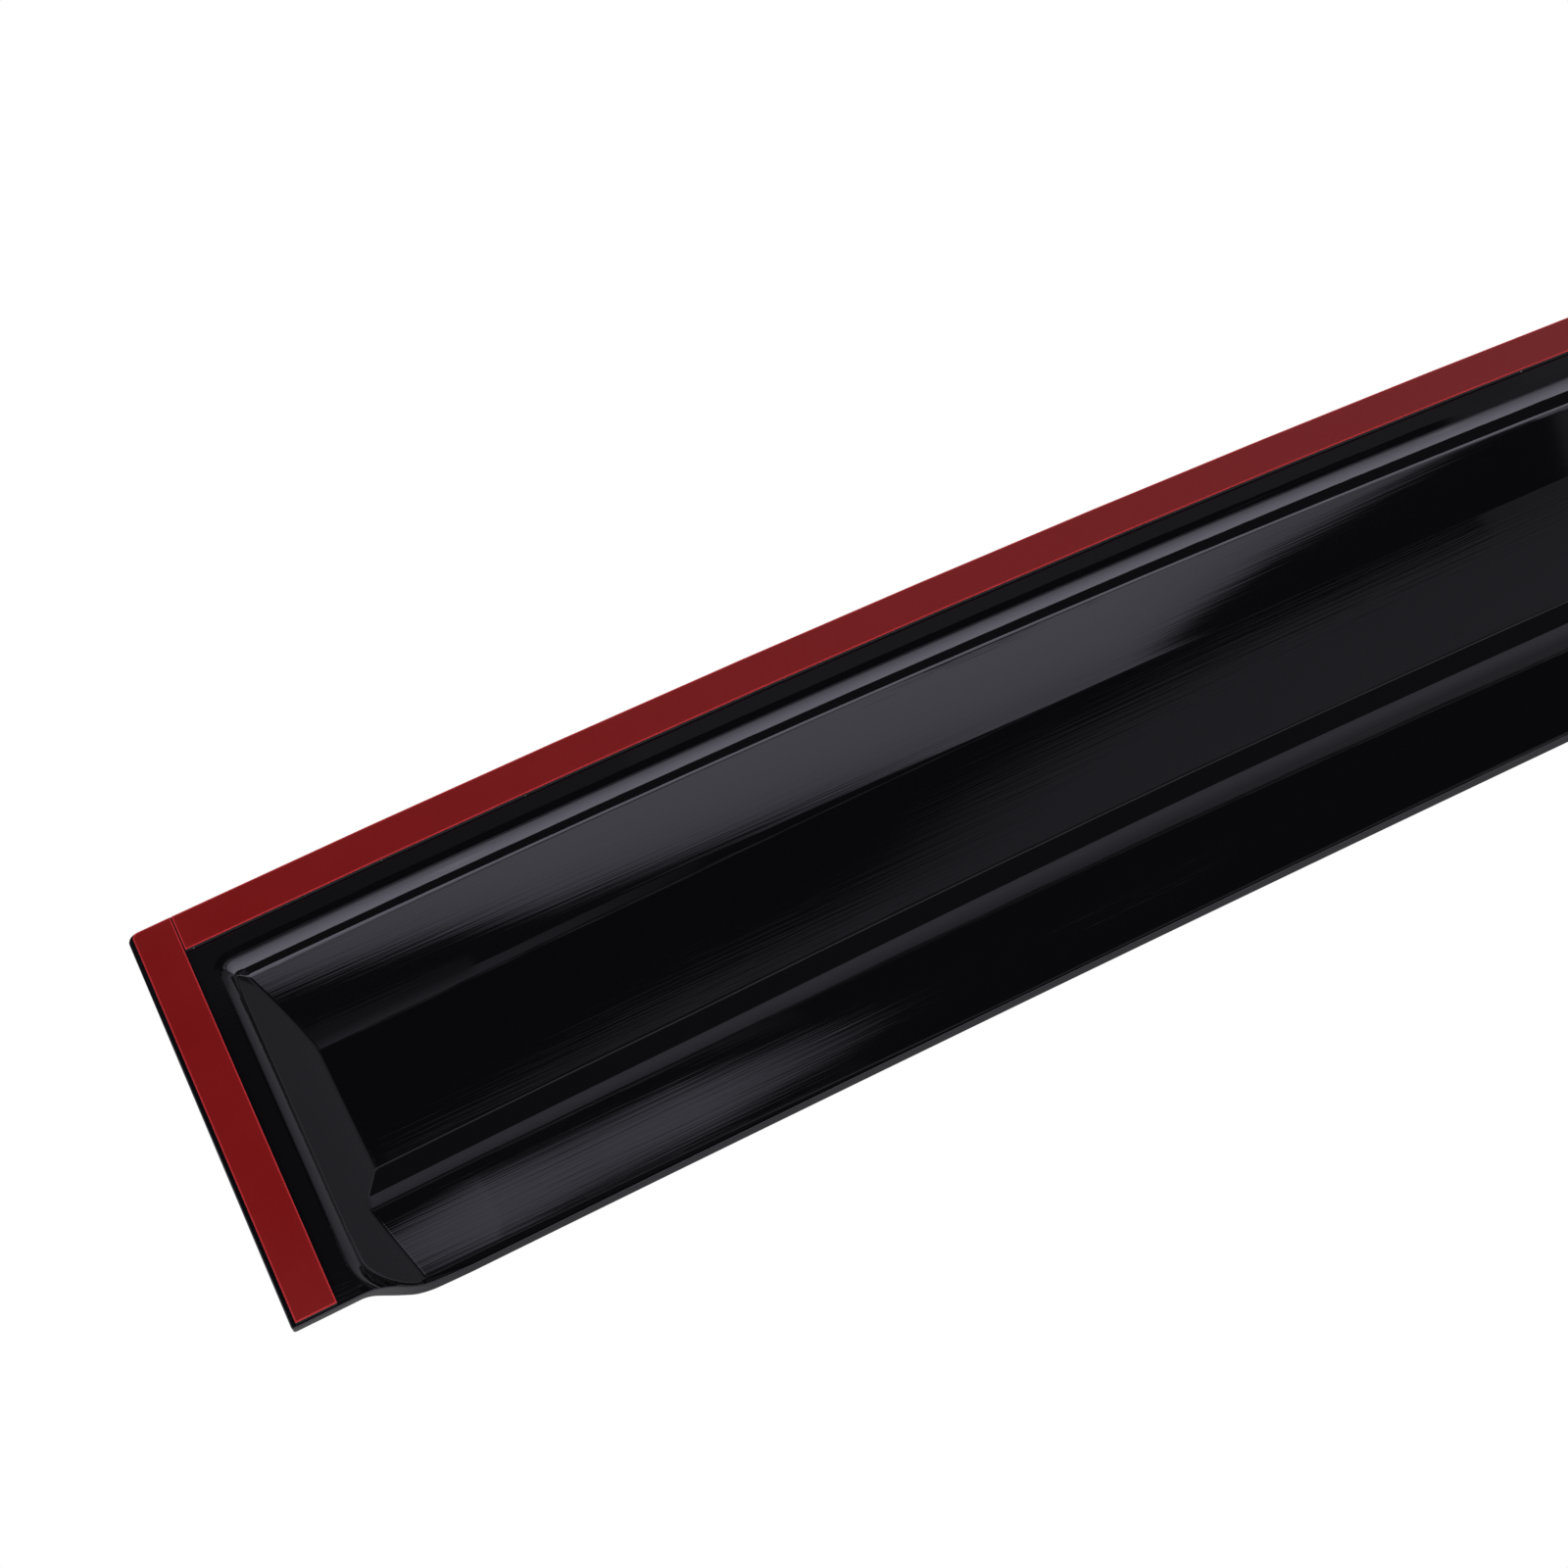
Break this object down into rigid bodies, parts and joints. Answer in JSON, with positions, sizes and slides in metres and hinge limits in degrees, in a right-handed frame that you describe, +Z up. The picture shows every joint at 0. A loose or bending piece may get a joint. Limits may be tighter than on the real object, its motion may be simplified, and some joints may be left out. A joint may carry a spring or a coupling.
{
  "type": "window rain deflector",
  "caption": "Long glossy black moulded window rain deflector: taped flange along an arched top and both ends, double-wave bowl and trimmed lower lip.",
  "frame": {"origin": "on the exposed face of the top tape, on that tape's centre line, at the crown of the arched top edge", "axes": "+X along the deflector from its square end to its raked end; +Y outwards, away from the vehicle; +Z up as it hangs over the window"},
  "size_m": [0.597, 0.0116, 0.0933],
  "materials": {
    "shell": "high gloss, opaque black acrylic with fine lengthwise streaks",
    "foam": "matte black closed-cell foam",
    "liner": "dark red translucent film, satin"
  },
  "bodies": {
    "root": {"deflector_shell": "shell", "top_tape_foam": "foam", "top_tape_liner": "liner", "square_end_tape_foam": "foam", "square_end_tape_liner": "liner", "raked_end_tape_foam": "foam", "raked_end_tape_liner": "liner"}
  },
  "joints": []
}
